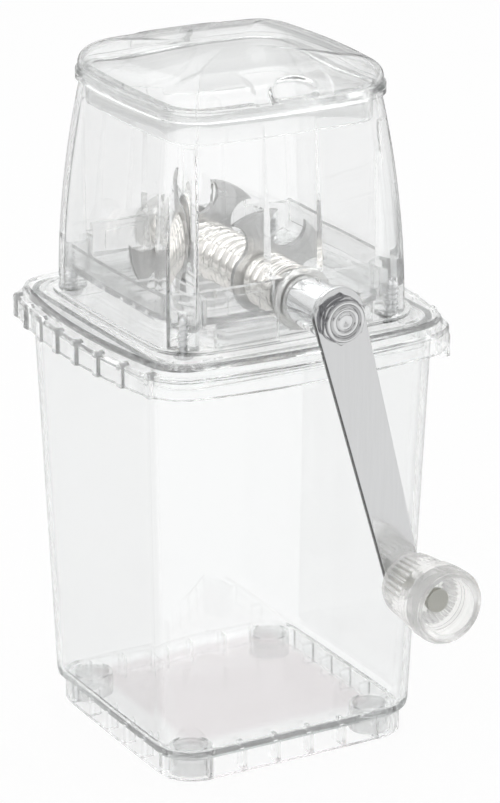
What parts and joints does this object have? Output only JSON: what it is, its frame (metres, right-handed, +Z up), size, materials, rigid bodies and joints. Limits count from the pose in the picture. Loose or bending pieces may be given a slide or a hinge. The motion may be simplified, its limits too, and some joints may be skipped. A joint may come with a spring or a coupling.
{
  "type": "hand cranked ice shaver",
  "caption": "Hand cranked ice shaver: a clear square cup, a lift-off clear hopper with a clawed steel rotor, a side crank with a clear knob and a domed lid.",
  "frame": {"origin": "centre of the cup's foot, on the surface the part stands on", "axes": "+Z up; the rotor's axis runs along Y and the crank is on the -Y side"},
  "size_m": [0.1288, 0.1654, 0.2453],
  "materials": {
    "clear_plastic": "clear polished plastic",
    "smoke_plastic": "translucent grey plastic",
    "soft_pad": "soft clear silicone",
    "zinc_steel": "zinc plated",
    "white_nylon": "natural nylon",
    "steel": "turned stainless steel",
    "blade_steel": "stamped stainless steel, tumbled bright",
    "arm_steel": "polished stainless steel",
    "chrome": "bright chrome plate",
    "collar_chrome": "bright chrome plate",
    "dark_steel": "dark oiled steel",
    "knob_plastic": "clear plastic, faintly warm"
  },
  "bodies": {
    "base": {"cup": "clear_plastic", "foot_pads": "soft_pad"},
    "head": {"head_base": "clear_plastic", "hopper": "clear_plastic", "hopper_screws": "zinc_steel", "chute_frame": "smoke_plastic", "front_bearing": "white_nylon", "rear_bearing": "white_nylon"},
    "cover": {"lid": "clear_plastic"},
    "rotor": {"shaft": "steel", "rear_blade": "blade_steel", "middle_blade": "blade_steel", "front_blade": "blade_steel", "rear_collar": "collar_chrome", "short_collar": "collar_chrome", "long_collar_1": "collar_chrome", "long_collar_2": "collar_chrome", "long_collar_3": "collar_chrome", "long_collar_4": "collar_chrome", "front_collar_1": "collar_chrome", "front_collar_2": "collar_chrome", "rear_washer": "steel", "front_washer": "steel", "hub_sleeve": "chrome", "crank_arm": "arm_steel", "cap_nut": "chrome", "knob_axle": "dark_steel", "knob_washer": "steel"},
    "grip": {"knob": "knob_plastic"}
  },
  "joints": [
    {"name": "head_lift", "type": "slide", "parent": "base", "child": "head", "axis": [0, 0, 1], "range_m": [0, 0.04]},
    {"name": "lid_lift", "type": "slide", "parent": "head", "child": "cover", "axis": [0, 0, 1], "range_m": [0, 0.03]},
    {"name": "rotor_turn", "type": "hinge", "parent": "head", "child": "rotor", "pos_m": [0, 0, 0.169], "axis": [0, 1, 0], "continuous": true},
    {"name": "knob_turn", "type": "hinge", "parent": "rotor", "child": "grip", "pos_m": [0.02651, -0.088, 0.07144], "axis": [0, 1, 0], "continuous": true}
  ]
}
